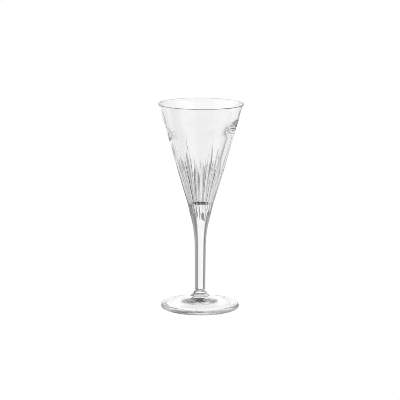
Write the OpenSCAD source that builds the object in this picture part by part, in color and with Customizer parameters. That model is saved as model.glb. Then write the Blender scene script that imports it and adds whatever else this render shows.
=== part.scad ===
// Stemmed schnapps glass: fluted conical bowl, solid stem, flared collar and round foot.
// Millimetres, +Z up, origin at the centre of the foot's underside.

/* [Overall] */
// Height from the surface it stands on to the rim
height = 140; // [136:1:146]

/* [Bowl] */
// Outer radius of the cone, carried up to the rim
rim_r = 28.55; // [27.5:0.05:30]
// How far the rim is turned out, on its outside
bead_out = 0.5; // [0.3:0.05:0.7]
// How far the rim is turned out, on its inside
bead_in = 0.45; // [0.25:0.05:0.6]
// Wall thickness in the thin upper part
wall = 1.3; // [1.1:0.05:1.6]
// Wall thickness in the heavy lower part
wall_low = 3; // [2.7:0.1:3.4]
// Height where the wall begins to swell, going down
wall_hi_z = 129; // [125:0.5:132]
// Height where the wall has reached its full thickness
wall_lo_z = 117; // [112:0.5:120]
// Height of the lowest point of the inside
inner_floor_z = 71.4; // [70.5:0.1:74]
// Radius of the dished floor of the inside
inner_dome = 20; // [16:1:60]
// Radius of the corner between floor and wall inside
inner_corner = 0.6; // [0.3:0.1:1.2]
// Height at which the straight cone of the outside begins
cone_z = 64; // [62:0.5:66]
// Outer radius where the straight cone begins
cone_r = 6.95; // [6.7:0.05:7.4]
// Height of the joint between bowl and stem
bowl_joint_z = 56; // [54:0.5:57.5]

/* [Cuts] */
// Number of flutes around the bowl; every third runs further down, every fourth further up
cut_count = 24; // [12:12:24]
// Slope of the two sides of a flute, across it
cut_slope = 0.42; // [0.38:0.01:0.44]
// Radius at the rounded bottom of a flute, across it
cut_round = 1.2; // [1:0.1:1.6]
// Radius of the curve along a flute at its lower end, which sets how long the run-out is
cut_wheel_low = 30; // [24:1:36]
// Radius of the curve along a flute at its upper end, which sets how long the run-out is
cut_wheel_top = 150; // [120:5:180]
// Depth of a flute
cut_depth = 0.8; // [0.7:0.05:0.9]
// Upper ends of the flutes that run further up
cut_top_long = 112; // [109:1:115]
// Upper ends of the other flutes
cut_top_short = 103; // [100:1:106]
// Lower ends of the flutes that run further down
cut_low_long = 60.5; // [60:0.5:62]
// Lower ends of the other flutes
cut_low_short = 66; // [65:0.5:69]
// Turn of the first flute from the front of the glass, in degrees
cut_phase = -11; // [-15:0.5:15]

/* [Stem] */
// Stem radius at its lower end
stem_r_low = 3.53; // [3.4:0.01:3.7]
// Stem radius at its upper end, where the flare to the bowl begins
stem_r_top = 3.78; // [3.7:0.01:3.95]
// Height of the joint between stem and collar
stem_joint_z = 12.2; // [12:0.1:12.6]
// Radius at the bottom of the crease around that joint
joint_r = 2.9; // [2.7:0.05:3.3]
// Height that the crease takes up on each side of the joint
joint_h = 0.8; // [0.5:0.05:0.95]

/* [Foot] */
// Outer radius of the foot
foot_r = 26.6; // [25.5:0.1:28]
// Thickness of the rounded edge of the foot
foot_edge = 3.4; // [3:0.1:3.8]
// How much the top of the foot is hollowed towards the collar, 1 being a straight cone
foot_curve = 1.25; // [1:0.05:1.5]
// Height of the joint between collar and foot
collar_joint_z = 8.4; // [8.2:0.1:8.6]
// Radius of the collar where it meets the foot
collar_r = 6.6; // [6.4:0.1:6.9]
// Outer radius of the hollow under the foot
hollow_r = 22; // [20:0.5:23.5]
// Depth of the hollow under the foot
hollow_depth = 4; // [2:0.1:4.4]

/* [Hidden] */
fine = 180;

// slope of the cone and of the stem, in degrees from the vertical
cone_a = atan((rim_r - cone_r) / (height - cone_z));
stem_a = 0.49;
// the concave flare is one arc, tangent to the cone and to the stem
flare_r = (cone_r - stem_r_top) / (cos(stem_a) - cos(cone_a));
flare_c = [cone_r + flare_r * cos(cone_a), cone_z - flare_r * sin(cone_a)];
flare_z = flare_c[1] + flare_r * sin(stem_a);

// rim: it begins to turn out here, and its rounded top begins here
bead_z = height - 4.6;
top_z = height - 0.3;

// how far a flute's run-outs reach along the cone
cut_run_low = sqrt(2 * cut_wheel_low * cut_depth - cut_depth * cut_depth);
cut_run_top = sqrt(2 * cut_wheel_top * cut_depth - cut_depth * cut_depth);

// radius of the outside at a height
function cone_at(z) = cone_r + (z - cone_z) * tan(cone_a);
function flare_at(z) = flare_c[0] - sqrt(flare_r * flare_r - pow(z - flare_c[1], 2));
function bead_at(z) = cone_at(z) + bead_out * pow((z - bead_z) / (top_z - bead_z), 2);

// radius of the inside: thin above, swelling to the heavy wall below
function clamp01(f) = min(max(f, 0), 1);
function swell(z) = let (f = clamp01((wall_hi_z - z) / (wall_hi_z - wall_lo_z))) f * f * (3 - 2 * f);
function inner_at(z) = cone_at(z) - wall - (wall_low - wall) * swell(z);

// corner inside: its centre lies one corner radius off the wall and off the dished floor
dome_z = inner_floor_z + inner_dome;
corner_k = cone_r - wall_low - cone_z * tan(cone_a) - inner_corner / cos(cone_a);
corner_a = 1 + pow(tan(cone_a), 2);
corner_b = corner_k * tan(cone_a) - dome_z;
corner_c = corner_k * corner_k + dome_z * dome_z - pow(inner_dome - inner_corner, 2);
corner_z = (-corner_b - sqrt(corner_b * corner_b - corner_a * corner_c)) / corner_a;
corner_r = corner_k + corner_z * tan(cone_a);
corner_t = atan2(dome_z - corner_z, corner_r);

// n steps between two heights, along one of the curves above
function flare_pts(za, zb, n) = [for (i = [0:n]) let (z = za + (zb - za) * i / n) [flare_at(z), z]];
function bead_pts(n) = [for (i = [0:n]) let (z = bead_z + (top_z - bead_z) * i / n) [bead_at(z), z]];
function bead_in_pts(n) = [for (i = [0:n - 1]) let (z = top_z + (bead_z - top_z) * i / n)
    [inner_at(z) + bead_in * pow((z - bead_z) / (top_z - bead_z), 2), z]];
function lip_pts(n) = let (a = bead_at(top_z), b = inner_at(top_z) + bead_in)
    [for (i = [1:n - 1]) let (t = 180 * i / n)
        [(a + b) / 2 + (a - b) / 2 * cos(t), top_z + (height - top_z) * sin(t)]];
function swell_pts(n) = [for (i = [0:n]) let (z = wall_hi_z + (wall_lo_z - wall_hi_z) * i / n) [inner_at(z), z]];
function corner_pts(n) = [for (i = [0:n]) let (t = cone_a + (corner_t - cone_a) * i / n)
    [corner_r + inner_corner * cos(t), corner_z - inner_corner * sin(t)]];
function floor_pts(n) = [for (i = [1:n - 1]) let (t = corner_t + (90 - corner_t) * i / n)
    [inner_dome * cos(t), dome_z - inner_dome * sin(t)]];

// a smooth run through a few profile points, n steps between each two
function between(a, b, c, d, t) =
    0.5 * (2 * b + (c - a) * t + (2 * a - 5 * b + 4 * c - d) * t * t + (3 * b - a - 3 * c + d) * t * t * t);
function smooth_run(p, n) = let (m = len(p), q = concat([2 * p[0] - p[1]], p, [2 * p[m - 1] - p[m - 2]]))
    concat([for (i = [1:m - 1], j = [0:n - 1]) between(q[i - 1], q[i], q[i + 1], q[i + 2], j / n)], [p[m - 1]]);

// the crease where stem and collar were fused draws both of them in
function crease(p) = [for (v = p) let (d = min(abs(v[1] - stem_joint_z) / joint_h, 1))
    [v[0] - (stem_r_low - joint_r) * (0.5 + 0.5 * cos(180 * d)), v[1]]];

function low_end(i) = i % 3 == 0 ? cut_low_long : cut_low_short;
function top_end(i) = i % 4 == 3 ? cut_top_long : cut_top_short;
function along(z) = (z - cone_z) / cos(cone_a);

// how far the wheel's edge falls back at y from its middle: a V with a rounded bottom
function edge_fall(y) = let (b = cut_slope * cut_slope * cut_round) sqrt(pow(cut_slope * y, 2) + b * b) - b;

// one flute: a straight run of the wheel's edge, with a run-out at both ends
module flute(za, zb) {
    ta = along(za) + cut_run_low;
    tb = along(zb) - cut_run_top;
    ramp_low = atan(cut_depth / cut_run_low);
    ramp_top = atan(cut_depth / cut_run_top);
    translate([cone_r, 0, cone_z])
        rotate([0, cone_a, 0]) {
            translate([-cut_depth, 0, ta]) wheel_edge(tb - ta);
            translate([-cut_depth, 0, tb]) rotate([0, ramp_top, 0]) wheel_edge(cut_run_top + 8);
            translate([-cut_depth, 0, ta]) mirror([0, 0, 1]) rotate([0, ramp_low, 0]) wheel_edge(cut_run_low + 6);
        }
}

module wheel_edge(length) {
    linear_extrude(height = length)
        polygon([for (y = [-4.5, -1.6, -0.6, 0, 0.6, 1.6, 4.5]) [edge_fall(y), y]]);
}

module bowl() {
    color([0.93, 0.94, 0.94, 0.45])
        difference() {
            rotate_extrude($fn = fine)
                polygon(concat(
                    [[0, bowl_joint_z]],
                    flare_pts(bowl_joint_z, cone_z, 8),
                    bead_pts(5),
                    lip_pts(12),
                    bead_in_pts(5),
                    swell_pts(10),
                    corner_pts(5),
                    floor_pts(5),
                    [[0, inner_floor_z]]
                ));
            for (i = [0:cut_count - 1])
                rotate([0, 0, 360 * i / cut_count - 90 + cut_phase])
                    flute(low_end(i), top_end(i));
        }
}

module stem() {
    ease = [for (i = [0:8]) [stem_r_low, stem_joint_z + joint_h * i / 8]];
    color([0.92, 0.93, 0.93, 0.45])
        rotate_extrude($fn = fine)
            polygon(concat(
                [[0, stem_joint_z]],
                crease(ease),
                flare_pts(flare_z, bowl_joint_z, 8),
                [[0, bowl_joint_z]]
            ));
}

// the collar flares from the stem's width to a low skirt on the foot
module collar() {
    h = stem_joint_z - collar_joint_z;
    w = collar_r - stem_r_low;
    color([0.90, 0.91, 0.91, 0.45])
        rotate_extrude($fn = fine)
            polygon(concat(
                [[0, collar_joint_z]],
                crease(smooth_run([
                    [collar_r, collar_joint_z],
                    [stem_r_low + 0.9 * w, collar_joint_z + 0.12 * h],
                    [stem_r_low + 0.64 * w, collar_joint_z + 0.26 * h],
                    [stem_r_low + 0.43 * w, collar_joint_z + 0.4 * h],
                    [stem_r_low + 0.28 * w, collar_joint_z + 0.57 * h],
                    [stem_r_low + 0.18 * w, collar_joint_z + 0.74 * h],
                    [stem_r_low + 0.07 * w, collar_joint_z + 0.88 * h],
                    [stem_r_low, stem_joint_z]
                ], 4)),
                [[0, stem_joint_z]]
            ));
}

module foot() {
    e = foot_edge / 2;
    // the top runs on from the rounded edge, rising towards the collar
    lean = 78;
    r1 = foot_r - e + e * cos(lean);
    z1 = e + e * sin(lean);
    hollow_ball = (hollow_r * hollow_r + hollow_depth * hollow_depth) / (2 * hollow_depth);
    color([0.91, 0.92, 0.92, 0.45])
        difference() {
            union() {
                rotate_extrude($fn = fine)
                    polygon(concat(
                        [[0, 0], [foot_r - e, 0], [foot_r - e, e]],
                        [for (i = [0:10]) let (t = i / 10)
                            [r1 + (collar_r - r1) * t, z1 + (collar_joint_z - z1) * pow(t, foot_curve)]],
                        [[0, collar_joint_z]]
                    ));
                translate([0, 0, e])
                    rotate_extrude($fn = fine)
                        translate([foot_r - e, 0]) circle(r = e, $fn = 64);
            }
            translate([0, 0, hollow_depth - hollow_ball]) sphere(r = hollow_ball, $fn = 360);
        }
}

bowl();
stem();
collar();
foot();
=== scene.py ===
import math

import bpy
import numpy as np
from mathutils import Matrix


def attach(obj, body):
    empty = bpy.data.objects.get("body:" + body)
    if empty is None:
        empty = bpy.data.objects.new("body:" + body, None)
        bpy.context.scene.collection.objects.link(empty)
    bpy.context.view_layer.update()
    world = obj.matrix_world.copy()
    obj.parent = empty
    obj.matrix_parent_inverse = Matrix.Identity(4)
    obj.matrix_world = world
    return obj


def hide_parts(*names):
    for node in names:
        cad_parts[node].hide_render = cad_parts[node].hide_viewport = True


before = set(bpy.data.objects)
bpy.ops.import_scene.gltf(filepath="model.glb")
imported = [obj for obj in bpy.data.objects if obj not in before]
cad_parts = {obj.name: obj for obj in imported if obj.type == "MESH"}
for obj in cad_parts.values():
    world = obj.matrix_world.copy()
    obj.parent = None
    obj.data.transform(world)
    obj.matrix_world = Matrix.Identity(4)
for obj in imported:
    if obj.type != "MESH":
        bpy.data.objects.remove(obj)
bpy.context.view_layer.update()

MM = 0.001
TAU = 2 * math.pi

# ------------------------------------------------------------------ sizes (mm)
HEIGHT = 140.0
RIM_R = 28.55
WALL = 1.3
WALL_LOW = 3.0
WALL_HI_Z = 129.0
WALL_LO_Z = 117.0
WALL_SHIFT = -0.25
WALL_TILT = 2.6
BEAD_Z = 135.4
BEAD_OUT = 0.5
BEAD_IN = 0.45
BEAD_TOP = 0.3
INNER_FLOOR_Z = 71.4
INNER_CORNER = 0.6
INNER_DOME = 20.0
CONE_Z, CONE_R = 64.0, 6.95
BOWL_JOINT = 56.0
CUTS = 24
FACE_COLS = 10
CUT_PHASE = -11.0
CUT_ROUND = 1.2
CUT_SLOPE = 0.42
CUT_DEPTH = 0.8
CUT_WHEEL_LOW = 30.0
CUT_WHEEL_TOP = 150.0
CUT_TOP_LONG = 112.0
CUT_TOP_SHORT = 103.0
CUT_LOW_LONG = 60.5
CUT_LOW_SHORT = 66.0
STEM_LOW, STEM_TOP, STEM_JOINT = 3.53, 3.78, 12.2
JOINT_R = 2.9
JOINT_H = 0.8
FOOT_R = 26.6
FOOT_EDGE = 3.4
FOOT_ROUND = 1.7
FOOT_CURVE = 1.25
COLLAR_JOINT = 8.4
COLLAR_R = 6.6
HOLLOW_R = 22.0
HOLLOW_DEPTH = 4.0
HOLLOW_P = 2.0

CONE_A = math.atan((RIM_R - CONE_R) / (HEIGHT - CONE_Z))
STEM_A = math.radians(0.49)
FLARE_R = (CONE_R - STEM_TOP) / (math.cos(STEM_A) - math.cos(CONE_A))
FLARE_C = (CONE_R + FLARE_R * math.cos(CONE_A), CONE_Z - FLARE_R * math.sin(CONE_A))
FLARE_Z = FLARE_C[1] + FLARE_R * math.sin(STEM_A)

def outer_at(z):
    z = np.asarray(z, float)
    flare = FLARE_C[0] - np.sqrt(np.maximum(FLARE_R ** 2 - (z - FLARE_C[1]) ** 2, 0))
    return np.where(z >= CONE_Z, CONE_R + (z - CONE_Z) * math.tan(CONE_A), flare)


def swell(z):
    """0 in the thin upper wall, 1 in the heavy lower one."""
    f = np.clip((WALL_HI_Z - np.asarray(z, float)) / (WALL_HI_Z - WALL_LO_Z), 0, 1)
    return f * f * (3 - 2 * f)


def inner_at(z):
    """Inside radius: a thin wall near the rim that swells to a heavy one, both following the cone."""
    return CONE_R + (z - CONE_Z) * math.tan(CONE_A) - WALL - (WALL_LOW - WALL) * swell(z)


def inner_profile():
    """(r, z, nr, nz) of the inside from where the bead ends down to the axis."""
    # corner circle, tangent to the cone and to the dome of the floor
    c, s = math.cos(CONE_A), math.sin(CONE_A)
    dome_c = INNER_FLOOR_Z + INNER_DOME
    lo, hi = INNER_FLOOR_Z, INNER_FLOOR_Z + 8
    for _ in range(60):
        z = (lo + hi) / 2
        r = float(inner_at(z)) - INNER_CORNER / c
        if math.hypot(r, dome_c - z) > INNER_DOME - INNER_CORNER:
            lo = z
        else:
            hi = z
    cr, cz = float(inner_at(z)) - INNER_CORNER / c, z
    a_end = math.atan2(dome_c - cz, cr)
    pts = []
    steps = np.concatenate([np.linspace(BEAD_Z, WALL_HI_Z + 3.2, 4), np.linspace(WALL_HI_Z + 3, WALL_LO_Z - 3, 26),
                            np.linspace(WALL_LO_Z - 4, cz - INNER_CORNER * s, 8)])
    for z in steps[1:]:
        m = float(inner_at(z + 0.01) - inner_at(z - 0.01)) / 0.02
        n = math.hypot(1, m)
        pts.append((float(inner_at(z)), float(z), -1 / n, m / n))
    for t in np.linspace(CONE_A, a_end, 9)[1:]:
        pts.append((cr + INNER_CORNER * math.cos(t), cz - INNER_CORNER * math.sin(t), -math.cos(t), math.sin(t)))
    for t in np.linspace(a_end, math.pi / 2, 5)[1:-1]:
        pts.append((INNER_DOME * math.cos(t), dome_c - INNER_DOME * math.sin(t), -math.cos(t), math.sin(t)))
    return pts


def lip_profile():
    """Outside of the turned-out rim, its rounded top and its inside, as (r, z)."""
    top_z = HEIGHT - BEAD_TOP
    pts = []
    for z in np.linspace(BEAD_Z, top_z, 11):
        f = (z - BEAD_Z) / (top_z - BEAD_Z)
        pts.append((float(outer_at(z)) + BEAD_OUT * f * f, float(z)))
    ro, ri = pts[-1][0], float(inner_at(top_z)) + BEAD_IN
    for t in np.linspace(0, math.pi, 13)[1:-1]:
        pts.append(((ro + ri) / 2 + (ro - ri) / 2 * math.cos(t), top_z + BEAD_TOP * math.sin(t)))
    for z in np.linspace(top_z, BEAD_Z, 10):
        f = (z - BEAD_Z) / (top_z - BEAD_Z)
        pts.append((float(inner_at(z)) + BEAD_IN * f * f, float(z)))
    return pts


# ------------------------------------------------------------------ mesh helpers
def build(name, verts, faces, loop_normals, face_mats, materials):
    """A mesh object from points in mm, faces and one normal per face corner."""
    me = bpy.data.meshes.new(name)
    me.from_pydata((np.asarray(verts) * MM).tolist(), [], faces)
    for m in materials:
        me.materials.append(m)
    me.polygons.foreach_set("use_smooth", [True] * len(me.polygons))
    me.polygons.foreach_set("material_index", face_mats)
    me.update()
    me.normals_split_custom_set(loop_normals)
    me.update()
    ob = bpy.data.objects.new(name, me)
    bpy.context.scene.collection.objects.link(ob)
    return ob


def polyline_normals(pts):
    """Outward normals (r, z) of a run of profile points walked with the glass on its left."""
    p = np.asarray(pts, float)
    d = np.gradient(p, axis=0)
    seg = np.hypot(*(p[1:] - p[:-1]).T)
    t = np.zeros_like(p)
    for i in range(len(p)):
        if i == 0:
            t[i] = p[1] - p[0]
        elif i == len(p) - 1:
            t[i] = p[-1] - p[-2]
        else:
            a, b = (p[i] - p[i - 1]) / seg[i - 1], (p[i + 1] - p[i]) / seg[i]
            w = seg[i - 1] / (seg[i - 1] + seg[i])
            t[i] = a * (1 - w) + b * w
    t /= np.hypot(t[:, 0], t[:, 1])[:, None]
    return np.stack([t[:, 1], -t[:, 0]], axis=1)


def revolve(name, runs, cols, materials):
    """Closed solid of revolution. runs: list of (points, normals or None, material index); each run
    starts where the one before ended, the first starts and the last ends on the axis."""
    th = np.arange(cols) * TAU / cols
    cs, sn = np.cos(th), np.sin(th)
    verts, rings = [], []

    def ring(r, z):
        base = len(verts)
        if r < 1e-9:
            verts.append((0, 0, z))
            return [base] * cols
        verts.extend(zip((r * cs).tolist(), (r * sn).tolist(), [z] * cols))
        return list(range(base, base + cols))

    faces, normals, mats = [], [], []
    last = None
    for pts, nrm, mat in runs:
        nrm = polyline_normals(pts) if nrm is None else nrm
        for j in range(len(pts)):
            if j == 0:
                cur = last if last is not None else ring(*pts[0])
            else:
                cur = ring(*pts[j])
            if j > 0:
                (n0r, n0z), (n1r, n1z) = nrm[j - 1], nrm[j]
                for k in range(cols):
                    q = (k + 1) % cols
                    a, b, c, d = last[k], last[q], cur[q], cur[k]
                    na0 = (n0r * cs[k], n0r * sn[k], n0z)
                    na1 = (n0r * cs[q], n0r * sn[q], n0z)
                    nb0 = (n1r * cs[k], n1r * sn[k], n1z)
                    nb1 = (n1r * cs[q], n1r * sn[q], n1z)
                    if a == b:
                        faces.append((a, c, d)); normals += [na0, nb1, nb0]
                    elif c == d:
                        faces.append((a, b, c)); normals += [na0, na1, nb0]
                    else:
                        faces.append((a, b, c, d)); normals += [na0, na1, nb1, nb0]
                    mats.append(mat)
            last = cur
    return build(name, verts, faces, normals, mats, materials)


# ------------------------------------------------------------------ materials
def nodes_of(mat):
    mat.use_nodes = True
    nt = mat.node_tree
    nt.nodes.clear()
    return nt


WAVE = 0.00012
STREAK = 0.00003


def glass(name, offset, scale, wave=1.0, cuts=False):
    """Clear glass. Its surface is not quite even: slow waves from the fire polish, and on the bowl the
    fine lines along the flutes that the cutting wheel leaves under the polish."""
    mat = bpy.data.materials.new(name)
    nt = nodes_of(mat)
    out = nt.nodes.new("ShaderNodeOutputMaterial")
    bs = nt.nodes.new("ShaderNodeBsdfPrincipled")
    bs.inputs["Base Color"].default_value = (1, 1, 1, 1)
    bs.inputs["Roughness"].default_value = 0.0
    bs.inputs["IOR"].default_value = 1.52
    bs.inputs["Transmission Weight"].default_value = 1.0
    nt.links.new(bs.outputs["BSDF"], out.inputs["Surface"])

    tc = nt.nodes.new("ShaderNodeTexCoord")

    def noise(loc, size, detail):
        mp = nt.nodes.new("ShaderNodeMapping")
        mp.inputs["Location"].default_value = loc
        mp.inputs["Scale"].default_value = size
        nt.links.new(tc.outputs["Object"], mp.inputs["Vector"])
        tex = nt.nodes.new("ShaderNodeTexNoise")
        tex.inputs["Scale"].default_value = 1.0
        tex.inputs["Detail"].default_value = detail
        tex.inputs["Roughness"].default_value = 0.4
        nt.links.new(mp.outputs["Vector"], tex.inputs["Vector"])
        return tex.outputs["Fac"]

    def bump(height, distance, below=None):
        bp = nt.nodes.new("ShaderNodeBump")
        bp.inputs["Strength"].default_value = 1.0
        bp.inputs["Distance"].default_value = distance
        nt.links.new(height, bp.inputs["Height"])
        if below is not None:
            nt.links.new(below, bp.inputs["Normal"])
        return bp.outputs["Normal"]

    nrm = bump(noise(offset, scale, 1.0), WAVE * wave)
    if cuts:
        sep = nt.nodes.new("ShaderNodeSeparateXYZ")
        nt.links.new(tc.outputs["Object"], sep.inputs[0])
        height = noise((3.0, 7.0, 1.0), (900.0, 900.0, 45.0), 2.0)
        for lo, hi, a, b in ((0.058, 0.066, 0.0, 1.0), (0.098, 0.112, 1.0, 0.0)):
            ramp = nt.nodes.new("ShaderNodeMapRange")
            ramp.interpolation_type = "SMOOTHSTEP"
            ramp.inputs["From Min"].default_value, ramp.inputs["From Max"].default_value = lo, hi
            ramp.inputs["To Min"].default_value, ramp.inputs["To Max"].default_value = a, b
            nt.links.new(sep.outputs["Z"], ramp.inputs["Value"])
            mul = nt.nodes.new("ShaderNodeMath")
            mul.operation = "MULTIPLY"
            nt.links.new(height, mul.inputs[0])
            nt.links.new(ramp.outputs["Result"], mul.inputs[1])
            height = mul.outputs[0]
        nrm = bump(height, STREAK, nrm)
    nt.links.new(nrm, bs.inputs["Normal"])
    return mat


def fused():
    mat = bpy.data.materials.new("fused_joint")
    nt = nodes_of(mat)
    out = nt.nodes.new("ShaderNodeOutputMaterial")
    tr = nt.nodes.new("ShaderNodeBsdfTransparent")
    tr.inputs["Color"].default_value = (1, 1, 1, 1)
    nt.links.new(tr.outputs["BSDF"], out.inputs["Surface"])
    return mat


FUSED = fused()
BOWL_GLASS = glass("bowl_crystal", (0.0, 0.0, 0.0), (90.0, 90.0, 60.0), 1.0, True)
STEM_GLASS = glass("stem_crystal", (5.0, 2.0, 0.0), (110.0, 110.0, 60.0), 0.6)
COLLAR_GLASS = glass("collar_crystal", (1.0, 9.0, 4.0), (160.0, 160.0, 160.0), 0.6)
FOOT_GLASS = glass("foot_crystal", (8.0, 3.0, 6.0), (120.0, 120.0, 120.0), 1.0)


# ------------------------------------------------------------------ bowl
def cut_tables():
    """Lower and upper ends of the cuts: every third one runs further down, every fourth one further up."""
    i = np.arange(CUTS)
    return np.where(i % 3 == 0, CUT_LOW_LONG, CUT_LOW_SHORT), np.where(i % 4 == 3, CUT_TOP_LONG, CUT_TOP_SHORT)


def make_bowl():
    low, top = cut_tables()
    ca, sa = math.cos(CONE_A), math.sin(CONE_A)
    # along the straight side of the cone, from where the cone begins
    t_low, t_top = (low - CONE_Z) / ca, (top - CONE_Z) / ca
    run_low = math.sqrt(2 * CUT_WHEEL_LOW * CUT_DEPTH - CUT_DEPTH ** 2)
    run_top = math.sqrt(2 * CUT_WHEEL_TOP * CUT_DEPTH - CUT_DEPTH ** 2)
    step = TAU / CUTS

    # rows
    zs = np.concatenate([
        np.linspace(BOWL_JOINT, low.min() - 0.6, 8, endpoint=False),
        np.arange(low.min() - 0.6, low.max() + run_low, 0.6),
        np.linspace(low.max() + run_low + 0.5, top.min() - run_top - 0.5, 8),
        np.linspace(top.min() - run_top, top.max() + 0.6, 30),
        np.linspace(top.max() + 0.8, BEAD_Z, 6),
    ])
    land = outer_at(zs)
    Z, L = zs[:, None], land[:, None]
    I = np.arange(CUTS)[None, :]

    def across(y):
        """How far the wheel's edge falls back at y mm from its middle, and its slope there."""
        b = CUT_SLOPE ** 2 * CUT_ROUND
        h = np.sqrt((CUT_SLOPE * y) ** 2 + b * b)
        return h - b, CUT_SLOPE ** 2 * np.abs(y) / h

    def along(idx, t):
        """Depth of the cut's middle line at t, with a run-out of the wheel's own curve at both ends."""
        lo_e = np.clip(t_low[idx] + run_low - t, 0, 0.9 * CUT_WHEEL_LOW)
        hi_e = np.clip(t - (t_top[idx] - run_top), 0, 0.9 * CUT_WHEEL_TOP)
        lo_h, hi_h = np.sqrt(CUT_WHEEL_LOW ** 2 - lo_e ** 2), np.sqrt(CUT_WHEEL_TOP ** 2 - hi_e ** 2)
        lo_d, hi_d = CUT_WHEEL_LOW - lo_h, CUT_WHEEL_TOP - hi_h
        return CUT_DEPTH - np.maximum(lo_d, hi_d), np.where(hi_d > lo_d, -hi_e / hi_h, lo_e / lo_h)

    def inside(idx, d, z, r):
        x, y = r * np.cos(d) - CONE_R, r * np.sin(d)
        t, n = x * sa + (z - CONE_Z) * ca, x * ca - (z - CONE_Z) * sa
        return across(y)[0] - n - along(idx, t)[0]

    def groove(idx, d, z, r):
        """Radius of the cut's surface, looked for within 3 mm of r."""
        lo, hi = r - 3.0, r + 3.0
        for _ in range(44):
            mid = (lo + hi) / 2
            neg = inside(idx, d, z, mid) < 0
            lo, hi = np.where(neg, lo, mid), np.where(neg, mid, hi)
        return lo

    # where each cut's face runs out into the plain wall
    lo, hi = np.zeros((len(zs), CUTS)), np.full((len(zs), CUTS), 1.2 * step)
    for _ in range(48):
        mid = (lo + hi) / 2
        neg = inside(I, mid, Z, L) < 0
        lo, hi = np.where(neg, mid, lo), np.where(neg, hi, mid)
    edge = np.where(inside(I, np.zeros_like(lo), Z, L) < 0, lo, 0.0)
    is_cut = edge > 0

    # boundary towards the next cut
    J = (I + 1) % CUTS
    e_i, e_j = edge, edge[:, J[0]]
    eps = 0.02 / L
    plain = e_i + (step - e_i - e_j) / 2
    lo, hi = np.zeros_like(edge), np.full_like(edge, step)
    for _ in range(36):
        mid = (lo + hi) / 2
        neg = groove(I, mid, Z, L) < groove(J, step - mid, Z, L)
        lo, hi = np.where(neg, mid, lo), np.where(neg, hi, mid)
    bound = np.where(e_i + e_j < step - 2 * eps, plain, lo)
    bound = np.clip(bound, 4 * eps, step - 4 * eps)

    # columns of each cut: face and land on the right, then land and face on the left of the next one
    fan = np.clip((np.maximum(Z - top[None, :], 0) * 0.04 + np.maximum(low[None, :] - Z, 0) * 0.04),
                  0, 0.3) * step
    ang, kind, own = [], [], []
    FACE, LAND = 0, 1
    nf, nl = FACE_COLS, 2
    for i in range(CUTS):
        j = (i + 1) % CUTS
        b = bound[:, i]
        er = np.minimum(np.maximum(edge[:, i], np.maximum(fan[:, i], eps[:, 0])), b - eps[:, 0])
        el = np.minimum(np.maximum(edge[:, j], np.maximum(fan[:, j], eps[:, 0])),
                        step - b - eps[:, 0])
        th0 = i * step
        for f in range(nf):
            ang.append(th0 + er * f / nf); kind.append(FACE); own.append((i, 1))
        for f in range(nl):
            ang.append(th0 + er + (b - er) * f / nl); kind.append(LAND); own.append((i, 1))
        for f in range(nl):
            ang.append(th0 + b + (step - el - b) * f / nl); kind.append(LAND); own.append((j, -1))
        for f in range(nf):
            ang.append(th0 + step - el + el * f / nf); kind.append(FACE); own.append((j, -1))
    A = np.stack(ang, axis=1)
    C = A.shape[1]
    R = np.repeat(L, C, axis=1)
    for c in range(C):
        i0 = int(c // (2 * (nf + nl)))
        for idx in (i0, (i0 + 1) % CUTS):
            d = A[:, c] - i0 * step if idx == i0 else A[:, c] - (i0 + 1) * step
            R[:, c] = np.minimum(R[:, c], groove(idx, d, zs, land))
    turn = -math.pi / 2 + math.radians(CUT_PHASE)

    # normals
    slope = np.where(zs >= CONE_Z, math.tan(CONE_A),
                     (zs - FLARE_C[1]) / np.sqrt(np.maximum(FLARE_R ** 2 - (zs - FLARE_C[1]) ** 2, 1e-9)))
    ln = np.stack([1 / np.sqrt(1 + slope ** 2), -slope / np.sqrt(1 + slope ** 2)], axis=1)

    def land_normal(j, c):
        t = A[j, c] + turn
        return (ln[j, 0] * math.cos(t), ln[j, 0] * math.sin(t), ln[j, 1])

    def cut_normal(j, c, i, side, wrap):
        mid = i * step + (TAU if wrap else 0)
        d = A[j, c] - mid
        x, y = R[j, c] * math.cos(d), R[j, c] * math.sin(d)
        g = float(along(i, (x - CONE_R) * sa + (zs[j] - CONE_Z) * ca)[1])
        nx, ny, nz = ca + g * sa, -side * float(across(y)[1]), -sa + g * ca
        n = math.sqrt(nx * nx + ny * ny + nz * nz)
        nx, ny, nz = nx / n, ny / n, nz / n
        t = mid + turn
        return (nx * math.cos(t) - ny * math.sin(t), nx * math.sin(t) + ny * math.cos(t), nz)

    X, Y = R * np.cos(A + turn), R * np.sin(A + turn)
    verts = np.stack([X, Y, np.repeat(Z, C, axis=1)], axis=2).reshape(-1, 3).tolist()
    faces, normals, mats = [], [], []
    rows = len(zs)
    for j in range(rows - 1):
        for c in range(C):
            q = (c + 1) % C
            i, side = own[c]
            faces.append((j * C + c, j * C + q, (j + 1) * C + q, (j + 1) * C + c))
            mats.append(0)
            cut = kind[c] == FACE and (is_cut[j, i] or is_cut[j + 1, i])
            corners = ((j, c), (j, q), (j + 1, q), (j + 1, c))
            if cut:
                for (jj, cc) in corners:
                    # the last column closes on the first cut, a whole turn on
                    wrap = i == 0 and side == -1 and cc != 0
                    normals.append(cut_normal(jj, cc, i, side, wrap))
            else:
                for (jj, cc) in corners:
                    normals.append(land_normal(jj, cc))

    # lip and inside, on the same columns as the top row; the heavy part of the wall is not quite even,
    # so the rings of the inside move off the axis as the wall swells
    top_a = A[-1] + turn
    cs, sn = np.cos(top_a), np.sin(top_a)
    lip = lip_profile()
    prof = [(r, z, n[0], n[1]) for (r, z), n in zip(lip, polyline_normals(lip))][1:] + inner_profile()
    prev = [(rows - 1) * C + c for c in range(C)]

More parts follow.
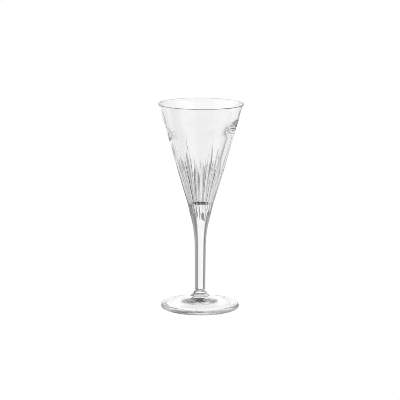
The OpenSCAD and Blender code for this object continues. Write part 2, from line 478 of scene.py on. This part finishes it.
    def wall_point(z, t):
        """A point of the inside; the swelling starts higher on one side and sits off the axis."""
        f = swell(z - WALL_TILT * np.cos(t))
        r = CONE_R + (z - CONE_Z) * math.tan(CONE_A) - WALL - (WALL_LOW - WALL) * f
        return np.stack([WALL_SHIFT * f + r * np.cos(t), r * np.sin(t), np.full_like(t, z)], axis=1)

    def ring(r, z, nr, nz):
        if r > 6.5 and z < BEAD_Z and nr < 0:
            e = 0.005
            n = np.cross(wall_point(z + e, top_a) - wall_point(z - e, top_a),
                         wall_point(z, top_a + e) - wall_point(z, top_a - e))
            return wall_point(z, top_a), n / np.linalg.norm(n, axis=1)[:, None]
        dx = WALL_SHIFT * float(swell(z)) if nr < 0 else 0.0
        return (np.stack([dx + r * cs, r * sn, np.full(C, z)], axis=1),
                np.stack([nr * cs, nr * sn, np.full(C, nz)], axis=1))

    pn = [tuple(v) for v in ring(RIM_R, BEAD_Z, math.cos(CONE_A), -math.sin(CONE_A))[1].tolist()]
    for entry in prof:
        pts, nrm = ring(*entry)
        base = len(verts)
        verts.extend(map(tuple, pts.tolist()))
        cur, cn = list(range(base, base + C)), [tuple(v) for v in nrm.tolist()]
        for c in range(C):
            q = (c + 1) % C
            faces.append((prev[c], prev[q], cur[q], cur[c]))
            mats.append(0)
            normals += [pn[c], pn[q], cn[q], cn[c]]
        prev, pn = cur, cn
    pole = len(verts)
    verts.append((WALL_SHIFT, 0, INNER_FLOOR_Z))
    for c in range(C):
        q = (c + 1) % C
        faces.append((prev[c], prev[q], pole))
        mats.append(0)
        normals += [pn[c], pn[q], (0, 0, 1)]
    # joint face towards the stem
    pole = len(verts)
    verts.append((0, 0, BOWL_JOINT))
    for c in range(C):
        q = (c + 1) % C
        faces.append((q, c, pole))
        mats.append(1)
        normals += [(0, 0, -1)] * 3
    return build("bowl_visual", verts, faces, normals, mats, [BOWL_GLASS, FUSED])


# ------------------------------------------------------------------ stem, collar, foot
def curve(points, n):
    """A smooth run through a few profile points, n steps between each two."""
    p = np.asarray(points, float)
    p = np.vstack([2 * p[0] - p[1], p, 2 * p[-1] - p[-2]])
    out = []
    for i in range(1, len(p) - 2):
        for t in np.arange(n) / n:
            out.append(tuple(0.5 * (2 * p[i] + (p[i + 1] - p[i - 1]) * t
                                    + (2 * p[i - 1] - 5 * p[i] + 4 * p[i + 1] - p[i + 2]) * t * t
                                    + (3 * p[i] - p[i - 1] - 3 * p[i + 1] + p[i + 2]) * t ** 3)))
    return out + [tuple(p[-2])]


def crease(pts):
    """Draws a profile in around the joint between stem and collar, where the two were fused."""
    out = []
    for r, z in pts:
        d = min(abs(z - STEM_JOINT) / JOINT_H, 1.0)
        out.append((r - (STEM_LOW - JOINT_R) * (0.5 + 0.5 * math.cos(math.pi * d)), z))
    return out


def make_stem():
    side = [(STEM_LOW, float(z)) for z in np.linspace(STEM_JOINT, STEM_JOINT + JOINT_H, 14)]
    for z in np.linspace(STEM_JOINT + JOINT_H, FLARE_Z, 12)[1:]:
        f = (z - STEM_JOINT - JOINT_H) / (FLARE_Z - STEM_JOINT - JOINT_H)
        side.append((STEM_LOW + (float(outer_at(FLARE_Z)) - STEM_LOW) * f, float(z)))
    for z in np.linspace(FLARE_Z, BOWL_JOINT, 24)[1:]:
        side.append((float(outer_at(z)), float(z)))
    side = crease(side)
    return revolve("stem_visual", [
        ([(0, STEM_JOINT), (JOINT_R, STEM_JOINT)], [(0, -1), (0, -1)], 1),
        (side, None, 0),
        ([side[-1], (0, BOWL_JOINT)], [(0, 1), (0, 1)], 1),
    ], 128, [STEM_GLASS, FUSED])


def make_collar():
    side = crease(curve([(COLLAR_R, COLLAR_JOINT), (6.3, 8.85), (5.5, 9.4), (4.85, 9.9), (4.4, 10.55),
                         (4.08, 11.2), (3.74, 11.75), (STEM_LOW, STEM_JOINT)], 8))
    return revolve("collar_visual", [
        ([(0, COLLAR_JOINT), (COLLAR_R, COLLAR_JOINT)], [(0, -1), (0, -1)], 1),
        (side, None, 0),
        ([(JOINT_R, STEM_JOINT), (0, STEM_JOINT)], [(0, 1), (0, 1)], 1),
    ], 128, [COLLAR_GLASS, FUSED])


def make_foot():
    e = FOOT_EDGE / 2
    hollow = [(float(r), HOLLOW_DEPTH * (1 - (r / HOLLOW_R) ** HOLLOW_P))
              for r in HOLLOW_R * np.linspace(0, 1, 40)]
    ring = [(HOLLOW_R, 0.0), (FOOT_R - FOOT_ROUND, 0.0)]
    edge, en = [], []
    lean = math.radians(78)
    for t in np.linspace(-math.pi / 2, lean, 25):
        edge.append((FOOT_R - FOOT_ROUND + FOOT_ROUND * math.cos(t), e + e * math.sin(t)))
        n = (math.cos(t) / FOOT_ROUND, math.sin(t) / e)
        en.append((n[0] / math.hypot(*n), n[1] / math.hypot(*n)))
    r1, z1 = edge[-1]
    top = []
    for t in np.linspace(0, 1, 32):
        r = r1 + (COLLAR_R - r1) * t
        top.append((r, z1 + (COLLAR_JOINT - z1) * t ** FOOT_CURVE))
    return revolve("foot_visual", [
        (hollow, None, 0),
        (ring, [(0, -1), (0, -1)], 0),
        (edge, en, 0),
        (top, None, 0),
        ([top[-1], (0, COLLAR_JOINT)], [(0, 1), (0, 1)], 1),
    ], 192, [FOOT_GLASS, FUSED])


for piece, node in ((make_bowl(), "bowl"), (make_stem(), "stem"), (make_collar(), "collar"),
                    (make_foot(), "foot")):
    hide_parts(node)
    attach(piece, "root")


# ------------------------------------------------------------------ camera
cam_data = bpy.data.cameras.new("camera")
cam_data.sensor_fit = "HORIZONTAL"
cam_data.sensor_width = 36.0
cam_data.lens = 36.0 * 2300 / 400
cam_data.clip_start, cam_data.clip_end = 0.05, 50
cam = bpy.data.objects.new("camera", cam_data)
bpy.context.scene.collection.objects.link(cam)
cam.matrix_world = (Matrix.Translation((-0.00035, -1.5301, 0.3497))
                    @ Matrix.Rotation(math.radians(90 - 10.208), 4, "X")
                    @ Matrix.Rotation(math.radians(0.303), 4, "Z"))
bpy.context.scene.camera = cam


# ------------------------------------------------------------------ floor
def make_floor():
    n = 96
    th = np.arange(n) * TAU / n
    me = bpy.data.meshes.new("floor")
    me.from_pydata([(6 * math.cos(t), 6 * math.sin(t), -0.0002) for t in th], [], [tuple(range(n))])
    mat = bpy.data.materials.new("floor_white")
    nt = nodes_of(mat)
    out = nt.nodes.new("ShaderNodeOutputMaterial")
    em = nt.nodes.new("ShaderNodeEmission")
    em.inputs["Color"].default_value = (1, 1, 1, 1)
    em.inputs["Strength"].default_value = 1.0
    nt.links.new(em.outputs["Emission"], out.inputs["Surface"])
    me.materials.append(mat)
    ob = bpy.data.objects.new("floor", me)
    bpy.context.scene.collection.objects.link(ob)
    ob.visible_diffuse = ob.visible_glossy = ob.visible_transmission = False
    ob.visible_shadow = False


make_floor()


# ------------------------------------------------------------------ studio light
PANEL = 1.0
PANEL_AZ = -4.0
PANEL_HALF = 22.5
PANEL_SOFT = 7.0
PANEL_TOP = 35.0
PANEL_LOW = -38.0
FLAG = 0.28
WING = 0.42
TABLE = 0.85
SIDE = 0.1
LEFT_BOX = 0.75
FRONT_BOX = 0.3
FRONT = 0.0
HIGH = 0.05
CEILING = 0.0
DOWN = 0.0
CORNER = 0.8
TOP_BOX = 0.2


def make_world():
    world = bpy.data.worlds.new("studio")
    bpy.context.scene.world = world
    world.use_nodes = True
    nt = world.node_tree
    nt.nodes.clear()
    new, link = nt.nodes.new, nt.links.new

    def put(node, idx, v):
        if isinstance(v, (int, float)):
            node.inputs[idx].default_value = v
        else:
            link(v, node.inputs[idx])

    def m(op, a, b=0.0, c=0.0):
        n = new("ShaderNodeMath")
        n.operation = op
        put(n, 0, a); put(n, 1, b); put(n, 2, c)
        return n.outputs[0]

    def smooth(v, lo, hi):
        """0 below lo, 1 above hi (or the other way round when lo > hi)."""
        n = new("ShaderNodeMapRange")
        n.interpolation_type = "SMOOTHSTEP"
        flip = lo > hi
        put(n, 0, v)
        put(n, 1, min(lo, hi)); put(n, 2, max(lo, hi))
        put(n, 3, 1.0 if flip else 0.0); put(n, 4, 0.0 if flip else 1.0)
        return n.outputs[0]

    tc = new("ShaderNodeTexCoord")
    sep = new("ShaderNodeSeparateXYZ")
    link(tc.outputs["Generated"], sep.inputs[0])
    x, y, z = sep.outputs
    az = m("MULTIPLY", m("ARCTAN2", x, y), 180 / math.pi)          # 0 behind the glass, + to the right
    el = m("MULTIPLY", m("ARCSINE", z), 180 / math.pi)

    def turn_from(a0):
        """Degrees of turn away from a0, 0..180."""
        d = m("WRAP", m("SUBTRACT", az, a0), 180.0, -180.0)
        return m("ABSOLUTE", d)

    def panel(a0, half, soft, lo, hi, soft_v, level):
        s = smooth(turn_from(a0), half + soft, half - soft)
        s = m("MULTIPLY", s, smooth(el, lo - soft_v, lo + soft_v))
        s = m("MULTIPLY", s, smooth(el, hi + soft_v, hi - soft_v))
        return m("MULTIPLY", s, level)

    # room: grey at the sides, dark on the camera's side, a little lighter overhead
    level = m("MULTIPLY_ADD", smooth(turn_from(0), 150, 110), SIDE - FRONT, FRONT)
    level = m("MAXIMUM", level, panel(0, 50, 8, -40, 30, 8, FLAG))
    level = m("MAXIMUM", level, panel(55, 19, 6, -40, 12, 6, WING))
    level = m("MAXIMUM", level, panel(-55, 19, 6, -40, 12, 6, WING))
    over = smooth(el, 24, 40)
    level = m("ADD", m("MULTIPLY", level, m("SUBTRACT", 1.0, over)), m("MULTIPLY", over, HIGH))
    level = m("MAXIMUM", level, m("MULTIPLY", smooth(el, 50, 66), CEILING))
    # table close to the glass, seen steeply from above
    down = smooth(el, -34, -46)
    level = m("ADD", m("MULTIPLY", level, m("SUBTRACT", 1.0, down)), m("MULTIPLY", down, DOWN))
    level = m("MAXIMUM", level, panel(48, 24, 5, -42, -14, 3, TABLE))
    level = m("MAXIMUM", level, panel(-48, 24, 5, -42, -16, 3, TABLE * 0.8))
    # soft boxes on the left and above the camera
    level = m("MAXIMUM", level, panel(-105, 35, 8, 8, 42, 5, LEFT_BOX))
    level = m("MAXIMUM", level, panel(180, 50, 8, 8, 32, 5, FRONT_BOX))
    # soft box high up behind the glass
    level = m("MAXIMUM", level, panel(0, 80, 10, 46, 76, 6, TOP_BOX))
    # lit background, and one panel for each of the other sides
    level = m("MAXIMUM", level, panel(PANEL_AZ, PANEL_HALF, PANEL_SOFT, PANEL_LOW, PANEL_TOP, 5, PANEL))
    level = m("MAXIMUM", level, panel(-90, 23, 3, -22, 30, 3, 1.0))
    level = m("MAXIMUM", level, panel(-45, 23, 6, -42, -17, 3, CORNER))
    level = m("MAXIMUM", level, panel(-45, 23, 10, 12, 42, 4, CORNER))
    level = m("MAXIMUM", level, panel(135, 28, 12, -28, 35, 4, 0.9))

    lp = new("ShaderNodeLightPath")
    level = m("MAXIMUM", level, lp.outputs["Is Camera Ray"])
    bg = new("ShaderNodeBackground")
    bg.inputs["Color"].default_value = (1, 1, 1, 1)
    link(level, bg.inputs["Strength"])
    out = new("ShaderNodeOutputWorld")
    link(bg.outputs[0], out.inputs["Surface"])


make_world()

scene = bpy.context.scene
scene.view_settings.view_transform = "Standard"
scene.view_settings.look = "None"
scene.cycles.filter_width = 0.9
scene.cycles.max_bounces = 40
scene.cycles.transmission_bounces = 40
scene.cycles.glossy_bounces = 40
scene.cycles.transparent_max_bounces = 40
